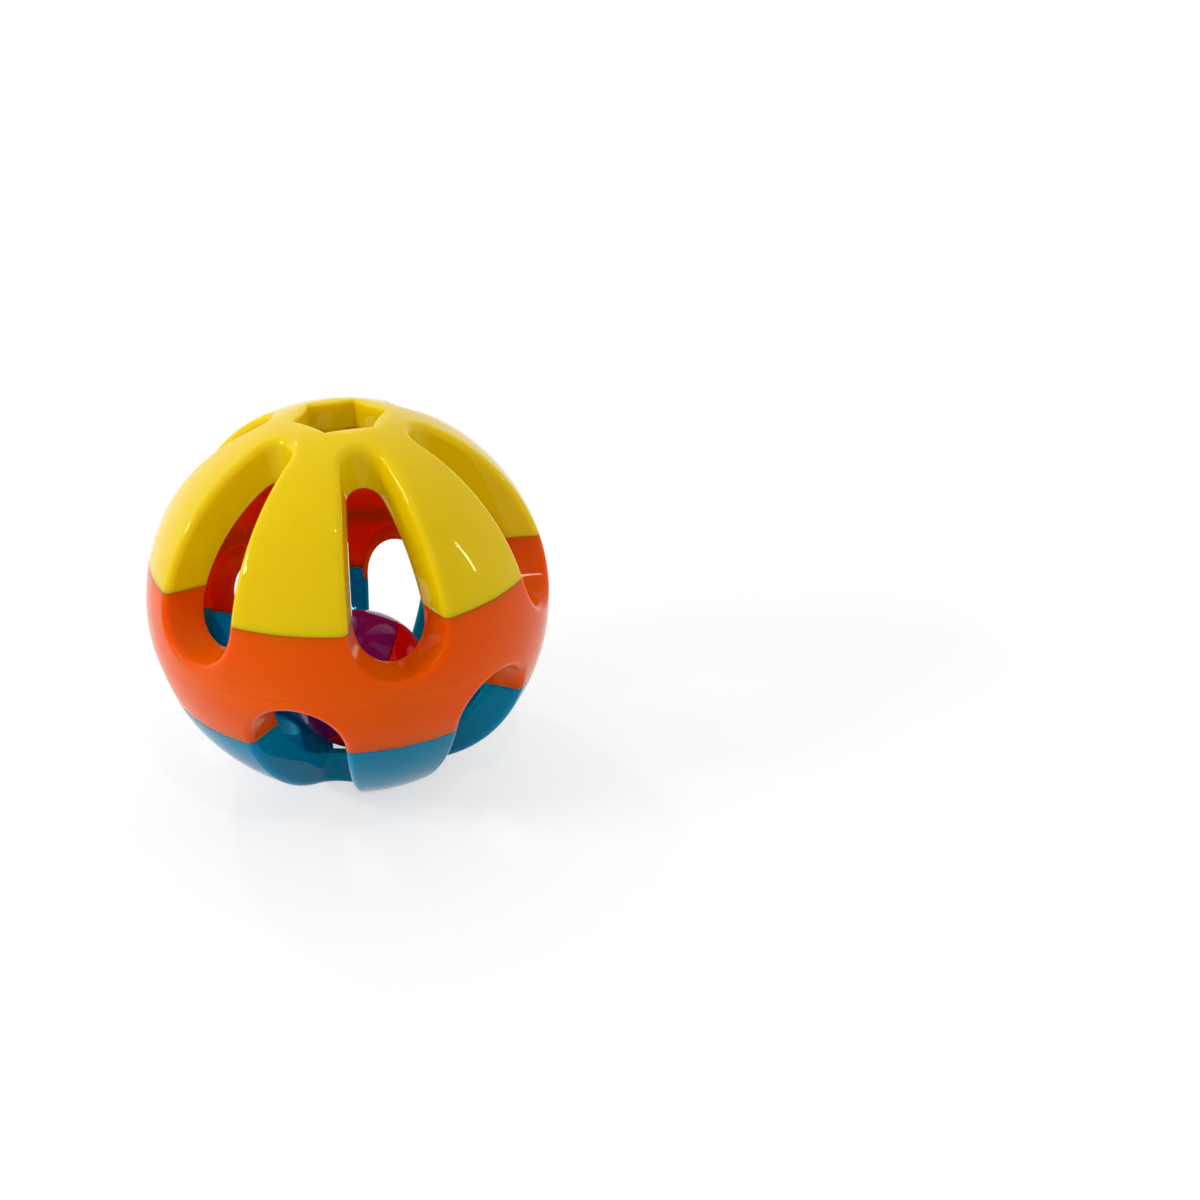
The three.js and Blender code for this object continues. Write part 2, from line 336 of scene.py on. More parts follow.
def arc(radius: float, start: float, end: float, steps: int) -> list[tuple[float, float]]:
    """Give points of an arc about the origin, as distances from the axis and heights.

    Args:
        radius: radius of the arc.
        start: first angle above the equator.
        end: last angle above the equator.
        steps: spaces between the points.

    Returns:
        The points, from start to end.
    """
    angles = [start + (end - start) * i / steps for i in range(steps + 1)]
    return [(max(0.0, radius * math.cos(angle)), radius * math.sin(angle)) for angle in angles]


def sheet(rings: list[list[Vector]]) -> bpy.types.Object:
    """Model an open sheet through rings of equal counts.

    Args:
        rings: the points of each ring, in order.

    Returns:
        The sheet, selected and active.
    """
    columns = len(rings[0]) - 1
    rows = len(rings) - 1
    put_down()
    bpy.ops.mesh.primitive_grid_add(x_subdivisions=columns, y_subdivisions=rows, size=2)
    piece = bpy.context.object
    # The grid runs from -1 to 1 both ways
    for point in piece.data.vertices:
        row = round((point.co.y + 1) / 2 * rows)
        column = round((point.co.x + 1) / 2 * columns)
        point.co = rings[row][column]
    return piece


def on_sphere(radius: float, across: float, height: float) -> Vector:
    """Give the point of a sphere at an angle round Z from +X and at a height."""
    level = math.sqrt(radius**2 - height**2)
    return Vector((level * math.cos(across), level * math.sin(across), height))


def between(first: list[Vector], last: list[Vector], share: float, radius: float) -> list[Vector]:
    """Give a ring of points part of the way from one ring to another, on a sphere."""
    return [a.lerp(b, share).normalized() * radius for a, b in zip(first, last)]


@dataclass(frozen=True)
class MouldedPlastic:
    """Injection-moulded plastic, pigmented right through, from a polished tool.

    Light enters a little way, so edges and thin places glow in the plastic's own colour. The gloss takes on
    some of that colour and has a faint ripple, and play leaves hazy patches and fine scuffs on it.
    """

    name: str
    slot: str
    colour: str
    deep: str
    roughness: float = 0.035
    haze: float = 0.03
    haze_mm: float = 5.0
    haze_range: tuple[float, float] = (0.4, 0.75)
    ior: float = 1.5
    specular: float = 0.25
    sheen_white: float = 0.35
    translucency: float = 0.8
    scatter: tuple[float, float, float] = (1.0, 0.5, 0.2)
    scatter_depth: float = 2.0 * MM
    joint_reach: float = 0.0
    joint_translucency: float = 0.3
    mottle_mm: float = 11.0
    ripple_mm: float = 2.2
    ripple_height: float = 0.006 * MM
    scuff_width_mm: float = 0.16
    scuff_length_mm: float = 4.0
    scuff_depth: float = 0.004 * MM
    scuff_roughness: float = 0.15
    scuff_range: tuple[float, float] = (0.78, 0.88)
    scuff_ways: tuple[tuple[float, float, float], ...] = ((0.6, 0.24, 0.78), (2.1, 0.84, 2.73))

    def sheen(self) -> tuple[float, float, float, float]:
        """Mix the colour of the gloss seen straight on, from white and the plastic's own colour.

        Returns:
            Linear red, green and blue, with full alpha.
        """
        own = linear(self.colour)
        strongest = max(own[:3])
        red, green, blue = (self.sheen_white + (1 - self.sheen_white) * part / strongest for part in own[:3])
        return red, green, blue, 1.0

    def light_let_in(
        self, tree: bpy.types.NodeTree, place: bpy.types.NodeSocket
    ) -> float | bpy.types.NodeSocket:
        """Work out how much light enters the plastic.

        At the joint on the equator the real light goes on into the next moulding and comes back from it.
        The shader would lose it at the mesh's end, so the plastic lets less in there.

        Args:
            tree: the material's nodes.
            place: the place on the piece.

        Returns:
            The share of light that enters, or the socket that gives it.
        """
        if not self.joint_reach:
            return self.translucency
        height = add_node(tree, "ShaderNodeSeparateXYZ", {"Vector": place}).outputs["Z"]
        away = add_node(tree, "ShaderNodeMath", {0: height}, operation="ABSOLUTE")
        share = add_node(
            tree,
            "ShaderNodeMapRange",
            {
                "Value": away.outputs[0],
                "From Min": 0.0,
                "From Max": self.joint_reach,
                "To Min": self.joint_translucency,
                "To Max": self.translucency,
            },
            interpolation_type="SMOOTHSTEP",
        )
        return share.outputs["Result"]

    def material(self) -> bpy.types.Material:
        """Build the node material.

        Returns:
            The material, named for the plastic.
        """
        material = bpy.data.materials.new(self.name)
        material.use_nodes = True
        tree = material.node_tree
        tree.nodes.clear()
        place = add_node(tree, "ShaderNodeTexCoord").outputs["Object"]

        # Pigment that isn't mixed quite evenly
        mottle = add_node(
            tree, "ShaderNodeTexNoise", {"Vector": place, "Scale": per_mm(self.mottle_mm), "Detail": 3.0}
        )
        colour = add_node(
            tree,
            "ShaderNodeMix",
            {
                MIX_SHARE: mottle.outputs["Fac"],
                MIX_FIRST: linear(self.colour),
                MIX_SECOND: linear(self.deep),
            },
            data_type="RGBA",
        )

        # Scuffs: long thin marks that lie two ways
        across = per_mm(self.scuff_width_mm)
        along = per_mm(self.scuff_length_mm)
        stretch = (across, along, along)
        scuffs = []
        for way in self.scuff_ways:
            lie = add_node(tree, "ShaderNodeMapping", {"Vector": place, "Rotation": way, "Scale": stretch})
            streak = add_node(
                tree, "ShaderNodeTexNoise", {"Vector": lie.outputs[0], "Scale": 1.0, "Detail": 0.0}
            )
            mark = add_node(
                tree,
                "ShaderNodeMapRange",
                {
                    "Value": streak.outputs["Fac"],
                    "From Min": self.scuff_range[0],
                    "From Max": self.scuff_range[1],
                },
            )
            scuffs.append(mark.outputs["Result"])
        scuffed = add_node(tree, "ShaderNodeMath", {0: scuffs[0], 1: scuffs[1]}, operation="MAXIMUM")

        # Hazy patches where the gloss is rubbed
        rub = add_node(
            tree, "ShaderNodeTexNoise", {"Vector": place, "Scale": per_mm(self.haze_mm), "Detail": 5.0}
        )
        haze = add_node(
            tree,
            "ShaderNodeMapRange",
            {
                "Value": rub.outputs["Fac"],
                "From Min": self.haze_range[0],
                "From Max": self.haze_range[1],
                "To Min": self.roughness,
                "To Max": self.roughness + self.haze,
            },
        )
        rough = add_node(
            tree,
            "ShaderNodeMath",
            {0: scuffed.outputs[0], 1: self.scuff_roughness, 2: haze.outputs["Result"]},
            operation="MULTIPLY_ADD",
        )

        # Faint ripple of the moulded skin, with the scuffs cut into it
        ripple = add_node(
            tree, "ShaderNodeTexNoise", {"Vector": place, "Scale": per_mm(self.ripple_mm), "Detail": 1.0}
        )
        skin = add_node(
            tree,
            "ShaderNodeBump",
            {"Height": ripple.outputs["Fac"], "Distance": self.ripple_height, "Strength": 1.0},
        )
        cut = add_node(
            tree,
            "ShaderNodeBump",
            {
                "Height": scuffed.outputs[0],
                "Distance": self.scuff_depth,
                "Strength": 1.0,
                "Normal": skin.outputs["Normal"],
            },
            invert=True,
        )

        plastic = add_node(
            tree,
            "ShaderNodeBsdfPrincipled",
            {
                "Base Color": colour.outputs[MIX_RESULT],
                "Roughness": rough.outputs[0],
                "Normal": cut.outputs["Normal"],
                "IOR": self.ior,
                "Specular IOR Level": self.specular,
                "Specular Tint": self.sheen(),
                "Subsurface Weight": self.light_let_in(tree, place),
                "Subsurface Radius": self.scatter,
                "Subsurface Scale": self.scatter_depth,
            },
        )
        add_node(tree, "ShaderNodeOutputMaterial", {"Surface": plastic.outputs["BSDF"]})
        return material


# Moulded plastics of the cage: strong, even colour under a sharp gloss, with edges that glow a little
YELLOW = MouldedPlastic(
    "yellow moulded plastic",
    "yellow_plastic",
    "#f2d200",
    "#ebc600",
    specular=0.28,
    scatter=(0.8, 0.68, 0.02),
    scatter_depth=2.6 * MM,
)
ORANGE = MouldedPlastic(
    "orange moulded plastic",
    "orange_plastic",
    "#ff6200",
    "#ff5600",
    specular=0.18,
    translucency=0.95,
    scatter=(1.0, 0.04, 0.01),
    scatter_depth=3.2 * MM,
    joint_reach=2.5 * MM,
)
TEAL = MouldedPlastic(
    "teal moulded plastic",
    "teal_plastic",
    "#0088b0",
    "#0080a6",
    specular=0.1,
    scatter=(0.02, 0.9, 1.0),
    scatter_depth=4.5 * MM,
)

# Moulded plastics of the thin capsule: deep, glossy colour that brightens where light comes through
RED = MouldedPlastic(
    "red moulded plastic",
    "red_plastic",
    "#fb0406",
    "#f00204",
    translucency=0.9,
    scatter=(1.0, 0.03, 0.02),
    scatter_depth=3.0 * MM,
)
PURPLE = MouldedPlastic(
    "purple moulded plastic",
    "purple_plastic",
    "#8c0e68",
    "#820a5e",
    scatter=(0.9, 0.05, 0.5),
)

# Tumbled plastic of the pellets: an even off-white with a dull skin
IVORY = MouldedPlastic("ivory tumbled plastic", "ivory_plastic", "#efe9dc", "#e6decd", roughness=0.35)


def dress(
    piece: bpy.types.Object, material: bpy.types.Material, body: str, node: str
) -> None:
    """Give a piece its finish and its place in the frame.

    Args:
        piece: the finished mesh object.
        material: the finish's node material.
        body: the body that it moves with.
        node: the solid that it stands for.
    """
    piece.data.materials.clear()
    piece.data.materials.append(material)
    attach(piece, body)
    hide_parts(node)
    LOG.info("%s: %d faces, stands for %s on %s", piece.name, len(piece.data.polygons), node, body)


class Level(Enum):
    """What a ring of the pole hole's wall is measured from."""

    TOP = "outer surface at the lip"
    RIM = "inner rim of the collar"
    UNDER = "inner surface of the shell"


@dataclass
class Cage:
    """The openwork ball: two half shells, each a dome and a band.

    The shell is thin, and a collar stands inwards from it round every slot and pole hole.
    """

    radius: float = 30.0 * MM
    shell_wall: float = 1.4 * MM
    collar: float = 0.8 * MM
    seam_height: float = 9.3 * MM
    slot_count: int = 6
    slot_width: float = 13.85 * MM
    slot_end_height: float = 1.95 * MM
    slot_end_rise: float = 6.8 * MM
    slot_pole_distance: float = 10.2 * MM
    slot_depth: float = 5.4 * MM
    slot_draft: float = 0.5 * MM
    lip: float = 1.05 * MM
    rim_edge: float = 0.25 * MM
    fillet: float = 0.4 * MM
    hole_flats: float = 11.4 * MM
    hole_bow: float = 0.3 * MM
    hole_lip: float = 0.4 * MM
    hole_depth: float = 4.2 * MM
    land: float = 1.0 * MM
    equator_edge: float = 0.03 * MM
    upper_seam_edge: float = 0.05 * MM
    lower_seam_edge: float = 0.14 * MM

    tongue_width: float = 7.6 * MM
    tongue_thickness: float = 1.2 * MM
    tongue_lap: float = 2.6 * MM
    upper_tongue_lap: float = 0.8 * MM
    tongue_clearance: float = 0.5 * MM
    tongue_edge: float = 0.2 * MM
    seam_tongue_root: float = 3.0 * MM

    wide_columns: int = 24
    side_columns: int = 18
    narrow_columns: int = 12
    equator_columns: int = 14
    hole_columns: int = 7
    outer_rows: int = 10
    lip_rows: int = 8
    wall_rows: int = 5
    edge_rows: int = 3
    inner_rows: int = 7

    def __post_init__(self) -> None:
        """Work out the sizes that follow from the given ones."""
        self.inside = self.radius - self.shell_wall
        self.half_pitch = math.pi / self.slot_count
        self.half_angle = math.asin(self.slot_width / 2 / self.radius)
        self.shoulder = self.slot_end_height + self.slot_end_rise
        self.round_centre = self.slot_pole_distance / (1 - math.sin(self.half_angle))
        self.round_radius = self.round_centre - self.slot_pole_distance
        self.hole_inradius = self.hole_flats / 2
        self.standing = math.sqrt(self.radius**2 - (self.hole_inradius + self.hole_lip + self.land) ** 2)
        self.side_end = self.wide_columns + self.side_columns
        self.half_columns = self.side_end + self.narrow_columns
        self.rib_end = self.half_columns - self.hole_columns

    def slot_point(self, column: int, radius: float) -> Vector:
        """Give a point of half a slot's outline on a sphere, for a slot that faces +X.

        Args:
            column: place along the outline, from the middle of the wide end to that of the narrow end.
            radius: radius of the sphere.

        Returns:
            The point.
        """
        if column <= self.wide_columns:
            turn = QUARTER * (1 - column / self.wide_columns)
            across = self.half_angle * math.cos(turn)
            return on_sphere(radius, across, self.shoulder - self.slot_end_rise * math.sin(turn))
        if column <= self.side_end:
            low, high = self.side_latitudes(radius)
            latitude = low + (high - low) * (column - self.wide_columns) / self.side_columns
            return on_sphere(radius, self.half_angle, radius * math.sin(latitude))
        share = (column - self.side_end) / self.narrow_columns
        turn = math.pi - (QUARTER - self.half_angle) * (1 - share)
        x = self.round_centre + self.round_radius * math.cos(turn)
        y = self.round_radius * math.sin(turn)
        return Vector((x, y, math.sqrt(radius**2 - x**2 - y**2)))

    def side_latitudes(self, radius: float) -> tuple[float, float]:
        """Give the latitudes at which a slot's straight side starts and ends on a sphere."""
        reach = self.round_centre * math.cos(self.half_angle)
        return math.asin(self.shoulder / radius), math.acos(reach / radius)

    def hole_spot(self, share: float, spread: float) -> Vector:
        """Give a point of the pole hole's side that faces +X, as seen along Z.

        Args:
            share: place along the side, from 1 at one corner through 0 to -1 at the other.
            spread: distance outwards from the hole's wall.

        Returns:
            The point, at no height.
        """
        out = self.hole_inradius + spread
        return Vector((out - self.hole_bow * (1 - share**2), out * math.tan(self.half_pitch) * share, 0))

    def border_point(self, column: int, radius: float, spread: float) -> Vector:
        """Give a point of half the border of a slot's sector: equator, middle of the rib, pole hole.

        Args:
            column: place along the border, level with the same column of the slot.
            radius: radius of the sphere.
            spread: distance of the border from the pole hole's wall.

        Returns:
            The point.
        """
        if column <= self.equator_columns:
            return on_sphere(radius, self.half_pitch * column / self.equator_columns, 0.0)
        if column <= self.rib_end:
            corner = self.hole_spot(1.0, spread).length
            columns = (self.equator_columns, self.wide_columns, self.side_end, self.rib_end)
            latitudes = (0.0, *self.side_latitudes(radius), math.acos(corner / radius))
            run = next(i for i in range(3) if column <= columns[i + 1])
            share = (column - columns[run]) / (columns[run + 1] - columns[run])
            latitude = latitudes[run] + (latitudes[run + 1] - latitudes[run]) * share
            return on_sphere(radius, self.half_pitch, radius * math.sin(latitude))
        spot = self.hole_spot((self.half_columns - column) / self.hole_columns, spread)
        return Vector((spot.x, spot.y, math.sqrt(radius**2 - spot.length_squared)))

    def full_ring(self, half: Callable[[int], Vector]) -> list[Vector]:
        """Carry half a ring on through its mirror image, back to its first point.

        Args:
            half: gives the half ring's point at a column.

        Returns:
            The ring, with its first point again at its end.
        """
        there = [half(column) for column in range(self.half_columns + 1)]
        back = [Vector((point.x, -point.y, point.z)) for point in reversed(there[:-1])]
        return there + back

    def slot_ring(self, depth: float, spread: float) -> list[Vector]:
        """Give the slot's outline at a depth, drawn in by the draft and spread outwards.

        Args:
            depth: distance below the outer surface.
            spread: distance from the slot's wall to the ring.

        Returns:
            The ring, with its first point again at its end.
        """
        radius = self.radius - depth
        spread -= self.slot_draft * max(0.0, (depth - self.lip) / (self.slot_depth - self.lip))
        points = self.full_ring(lambda column: self.slot_point(column, radius))
        count = len(points) - 1
        ring = []
        for i, point in enumerate(points):
            along = points[(i + 1) % count] - points[(i - 1) % count]
            away = along.cross(point).normalized()
            ring.append((point + away * spread).normalized() * radius)
        return ring

    def rounding(self, size: float, steps: int) -> list[tuple[float, float]]:
        """Give points of a quarter round, from its second tangent to its first.

        Args:
            size: radius of the round.
            steps: spaces between the points.

        Returns:
            Each point's distances from the two tangents.
        """
        turns = [QUARTER * (1 - step / steps) for step in range(steps + 1)]
        return [(size * (1 - math.cos(turn)), size * (1 - math.sin(turn))) for turn in turns]

    def sector_rings(self) -> list[list[Vector]]:
        """Give the rings of one sector: outer surface, lip, slot wall, collar and inner surface.

        Returns:
            The rings, from the outer border to the inner one.
        """
        clear = self.collar + self.fillet
        outer_border = self.full_ring(lambda column: self.border_point(column, self.radius, self.hole_lip))
        inner_border = self.full_ring(lambda column: self.border_point(column, self.inside, clear))
        lip_ring = self.slot_ring(0.0, self.lip)
        root_ring = self.slot_ring(self.shell_wall, clear)
        rings = [
            between(outer_border, lip_ring, row / self.outer_rows, self.radius)
            for row in range(self.outer_rows)
        ]
        for point in (point for ring in rings for point in ring):
            point.z = min(point.z, self.standing)
        for spread, depth in self.rounding(self.lip, self.lip_rows):
            rings.append(self.slot_ring(depth, spread))
        foot = self.slot_depth - self.rim_edge
        for row in range(1, self.wall_rows):
            rings.append(self.slot_ring(self.lip + (foot - self.lip) * row / self.wall_rows, 0.0))
        edge = self.rounding(self.rim_edge, self.edge_rows)
        rings += [self.slot_ring(self.slot_depth - depth, spread) for spread, depth in reversed(edge)]
        rings += [self.slot_ring(self.slot_depth - depth, self.collar - spread) for spread, depth in edge]
        for spread, depth in reversed(self.rounding(self.fillet, self.edge_rows)):
            rings.append(self.slot_ring(self.shell_wall + depth, self.collar + spread))
        rings += [
            between(root_ring, inner_border, row / self.inner_rows, self.inside)
            for row in range(1, self.inner_rows + 1)
        ]
        return rings

    def hole_rings(self) -> list[list[Vector]]:
        """Give the rings of one side of the pole hole: lip, wall, rim and back of the collar.

        Returns:
            The rings, from the outer surface to the inner one.
        """
        lip = self.rounding(self.hole_lip, 2 * self.edge_rows)
        edge = self.rounding(self.rim_edge, self.edge_rows)
        rows = [(spread, Level.TOP, -depth) for spread, depth in lip]
        rows += [(spread, Level.RIM, depth) for spread, depth in reversed(edge)]
        rows += [(self.collar - spread, Level.RIM, depth) for spread, depth in edge]
        rows += [
            (self.collar + spread, Level.UNDER, -depth)
            for spread, depth in reversed(self.rounding(self.fillet, self.edge_rows))
        ]
        shares = [1 - step / self.hole_columns for step in range(2 * self.hole_columns + 1)]
        return [[self.hole_point(share, *row) for share in shares] for row in rows]

    def hole_point(self, share: float, spread: float, level: Level, rise: float) -> Vector:
        """Give a point of the pole hole's side.

        Args:
            share: place along the side, from 1 at one corner to -1 at the other.
            spread: distance outwards from the hole's wall.
            level: what the height is measured from.
            rise: height above that level.

        Returns:
            The point.
        """
        if level is Level.RIM:
            height = self.standing - self.hole_depth
        else:
            at_lip = level is Level.TOP
            radius = self.radius if at_lip else self.inside
            border = self.hole_spot(share, self.hole_lip if at_lip else self.collar + self.fillet)
            height = min(self.standing, math.sqrt(radius**2 - border.length_squared))
        spot = self.hole_spot(share, spread)
        return Vector((spot.x, spot.y, height + rise))

    def half_shell(self) -> bpy.types.Object:
        """Model the upper half shell in one piece, with dome and band not yet parted.

        Returns:
            The closed half shell.
        """
        hole_side = sheet(self.hole_rings())
        shell = sheet(self.sector_rings())
        hole_side.select_set(True)
        bpy.ops.object.join()
        shell.data.transform(Matrix.Rotation(-QUARTER, 4, "Z"))
        copy_round(shell, self.slot_count)
        close_up(shell)
        with editing(shell, at_level(0.0)):
            bpy.ops.mesh.bridge_edge_loops()
        close_up(shell)
        bevel(shell, self.on_equator_edge, self.equator_edge)
        return shell

    def on_equator_edge(self, a: Vector, b: Vector) -> bool:
        """Say whether an edge runs round the outside of the equator."""
        return all(abs(end.z) < TOUCH and end.xy.length > self.radius - ON_ROUND for end in (a, b))

    def part(self, shell: bpy.types.Object, name: str, keep: Keep, seam_edge: float) -> bpy.types.Object:
        """Part a dome or a band from a copy of the half shell.

        Args:
            shell: the whole half shell.
            name: name of the new piece.
            keep: above the colour seam for the dome, below it for the band.
            seam_edge: size of the rounding along the seam.

        Returns:
            The new piece.
        """
        piece = copy_of(shell, name)
        cut_level(piece, self.seam_height, keep)
        bevel(piece, at_level(self.seam_height), seam_edge, steps=2)
        return piece

    def tongues(self, distance: float, low: float, high: float, turn: float) -> bpy.types.Object:
        """Model the six tongues that lap a joint on the inside of the shell.

        Args:
            distance: from the pole axis to the inside of the shell at the joint.
            low: level of their lower ends.
            high: level of their upper ends.
            turn: angle of the first tongue round from -Y.

        Returns:
            The tongues, as one object.
        """
        face = math.sqrt((distance - self.tongue_clearance) ** 2 - (self.tongue_width / 2) ** 2)
        put_down()
        bpy.ops.mesh.primitive_cube_add(size=1)
        tongues = bpy.context.object
        tongues.data.transform(Matrix.Diagonal((self.tongue_width, self.tongue_thickness, high - low, 1)))
        bevel(tongues, lambda a, b: min(a.z, b.z) < 0, self.tongue_edge, steps=2)
        away = Matrix.Translation((0, self.tongue_thickness / 2 - face, (low + high) / 2))
        tongues.data.transform(Matrix.Rotation(turn, 4, "Z") @ away)
        copy_round(tongues, self.slot_count)
        return tongues

    def seam_tongues(self, lap: float) -> bpy.types.Object:
        """Model a dome's tongues, in the middle of each rib.

        Args:
            lap: how far they reach past the seam.

        Returns:
            The tongues, as one object.
        """
        distance = math.sqrt(self.inside**2 - self.seam_height**2)
        low = self.seam_height - lap
        return self.tongues(distance, low, self.seam_height + self.seam_tongue_root, self.half_pitch)

    def equator_tongues(self) -> bpy.types.Object:
        """Model the upper band's tongues, under each slot's collar."""
        return self.tongues(self.inside, -self.tongue_lap, self.slot_end_height - self.collar / 2, 0.0)

    def build(self, materials: dict[MouldedPlastic, bpy.types.Material]) -> None:
        """Model and dress the four pieces of the cage.

        Args:
            materials: the node material of each finish.
        """
        shell = self.half_shell()
        upper_dome = self.part(shell, "upper_dome_moulding", Keep.ABOVE, self.upper_seam_edge)
        combine(upper_dome, self.seam_tongues(self.upper_tongue_lap), Join.ADD)
        upper_band = self.part(shell, "upper_band_moulding", Keep.BELOW, self.upper_seam_edge)
        combine(upper_band, self.equator_tongues(), Join.ADD)
        lower_dome = self.part(shell, "lower_dome_moulding", Keep.ABOVE, self.lower_seam_edge)
        combine(lower_dome, self.seam_tongues(self.tongue_lap), Join.ADD)
        lower_band = self.part(shell, "lower_band_moulding", Keep.BELOW, self.lower_seam_edge)
        bpy.data.objects.remove(shell)
        to_lower = Matrix.Rotation(math.pi, 4, "X") @ Matrix.Rotation(self.half_pitch, 4, "Z")
        for piece in (lower_dome, lower_band):
            piece.data.transform(to_lower)

        for piece, finish, node in (
            (upper_dome, YELLOW, "upper_dome"),
            (upper_band, ORANGE, "upper_band"),
            (lower_band, ORANGE, "lower_band"),
            (lower_dome, TEAL, "lower_dome"),
        ):
            smooth(piece, Vector(), (self.radius, self.inside))
            dress(piece, materials[finish], "cage", node)


@dataclass
class Capsule:
    """The rattle: a slotted half and a plain half that fit together."""

    radius: float = 11.0 * MM
    wall: float = 1.3 * MM
    spigot: float = 1.4 * MM
    seam_gap: float = 0.2 * MM
    clearance: float = 0.2 * MM
    seam_edge: float = 0.15 * MM
    slit_count: int = 4
    slit_length: float = 6.0 * MM
    slit_width: float = 1.1 * MM
    slit_distance: float = 6.6 * MM
    slit_steps: int = 32
    tip: float = math.radians(126.4)
    turn: float = math.radians(-19)
    centre: Vector = CAPSULE_CENTRE
    steps: int = 128
    arc_steps: int = 32

    def __post_init__(self) -> None:
        """Work out the sizes that follow from the given ones."""
        self.inside = self.radius - self.wall
        self.spigot_outer = self.inside + (self.wall - self.clearance) / 2
        turned = Matrix.Translation(self.centre) @ Matrix.Rotation(self.turn, 4, "Z")
        self.in_place = turned @ Matrix.Rotation(self.tip, 4, "Y")

    def slits(self) -> bpy.types.Object:
        """Model the cutter of the round-ended sound slits.

        Returns:
            The cutter, long enough to pass right through the wall.
        """
        put_down()
        bpy.ops.mesh.primitive_cylinder_add(
            vertices=self.slit_steps, radius=self.slit_width / 2, depth=4 * self.wall
        )
        slits = bpy.context.object
        stretch = (self.slit_length - self.slit_width) / 2
        for point in slits.data.vertices:
            point.co.x += math.copysign(stretch, point.co.x) if abs(point.co.x) > TOUCH else 0.0
        to_wall = Matrix.Translation((0, 0, self.inside))
        slits.data.transform(Matrix.Rotation(self.slit_distance / self.radius, 4, "Y") @ to_wall)
        copy_round(slits, self.slit_count)
        return slits

    def slotted_half(self) -> bpy.types.Object:
        """Model the half with the spigot and the sound slits.

        Returns:
            The half, with its pole on +Z.
        """
        first = self.seam_edge / self.radius
        half = lathe(
            [
                *arc(self.inside, QUARTER, 0.0, self.arc_steps),
                (self.inside, -self.spigot),
                (self.spigot_outer - self.seam_edge, -self.spigot),
                (self.spigot_outer, self.seam_edge - self.spigot),
                (self.spigot_outer, 0.0),
                (self.radius - self.seam_edge, 0.0),
                *arc(self.radius, first, QUARTER, self.arc_steps),
            ],
            self.steps,
        )
        combine(half, self.slits(), Join.CUT)
        return half

    def plain_half(self) -> bpy.types.Object:
        """Model the half with the step that takes the spigot.

        Returns:
            The half, with its pole on -Z.
        """
        step = self.spigot_outer + self.clearance
        depth = self.spigot + self.clearance
        first = (self.seam_gap + self.seam_edge) / self.radius
        return lathe(
            [
                *arc(self.radius, -QUARTER, -first, self.arc_steps),
                (self.radius - self.seam_edge, -self.seam_gap),
                (step, -self.seam_gap),
                (step, -depth),
                *arc(self.inside, -math.asin(depth / self.inside), -QUARTER, self.arc_steps),
            ],
            self.steps,
        )

    def build(self, materials: dict[MouldedPlastic, bpy.types.Material]) -> None:
        """Model and dress the two halves.

        Args:
            materials: the node material of each finish.
        """
        for name, half, finish, node in (
            ("capsule_slotted_moulding", self.slotted_half(), RED, "rattle_slotted_half"),
            ("capsule_plain_moulding", self.plain_half(), PURPLE, "rattle_plain_half"),
        ):
            half.name = name
            half.data.name = name
            half.data.transform(self.in_place)
            smooth(half, self.centre, (self.radius, self.inside))
            dress(half, materials[finish], "rattle", node)


@dataclass
class Pellets:
    """The loose pellets on the bottom of the capsule."""

    count: int = 5
    diameter: float = 2.6 * MM
    spacing: float = 2.9 * MM
    path: float = 8.1 * MM
    flash: float = 0.03 * MM
    flash_width: float = 0.12 * MM
    gate: float = 0.35 * MM
    first_tilt: float = 0.4
    tilt_step: float = 0.9
    roll_step: float = 1.7
    centre: Vector = CAPSULE_CENTRE
    steps: int = 40

    def bead(self) -> bpy.types.Object:
        """Model one pellet: a bead with a parting ridge and a flat gate mark.

        Returns:
            The bead, at the origin.
        """
        radius = self.diameter / 2
        put_down()
        bpy.ops.mesh.primitive_uv_sphere_add(
            segments=self.steps, ring_count=self.steps // 2, radius=radius - self.flash
        )
        bead = bpy.context.object
        bevel(bead, at_level(0.0), self.flash_width, steps=2)
        for point in bead.data.vertices:
            out = point.co.xy.length
            if abs(point.co.z) < TOUCH:
                point.co.xy *= radius / out
            if out < self.gate and point.co.z > 0:
                point.co.z = math.sqrt((radius - self.flash) ** 2 - self.gate**2)
        return bead

    def build(self, materials: dict[MouldedPlastic, bpy.types.Material]) -> None:
        """Model and dress the pellets, each lying a different way up.

        Args:
            materials: the node material of each finish.
        """
        first = self.bead()
        for i in range(self.count):
            pellet = copy_of(first, f"pellet_{i + 1}_bead")
            lane = (i - (self.count - 1) / 2) * self.spacing
            place = self.centre + Vector((lane, 0, -math.sqrt(self.path**2 - lane**2)))
            tilt = Matrix.Rotation(self.tilt_step * i + self.first_tilt, 4, "X")
            roll = Matrix.Rotation(self.roll_step * i, 4, "Y")
            pellet.data.transform(Matrix.Translation(place) @ (tilt @ roll))
            smooth(pellet, place, (self.diameter / 2 - self.flash,))
            dress(pellet, materials[IVORY], f"pellet_{i + 1}", f"rattle_pellet_{i + 1}")
        bpy.data.objects.remove(first)


@dataclass(frozen=True)
class SoftBox:
    """A studio light, placed in metres as the camera sees the ball.

    Its level says how brightly it lights the ball, whatever its distance.
    """

    name: str
    right: float
    nearer: float
    above: float
    width: float
    height: float
    level: float


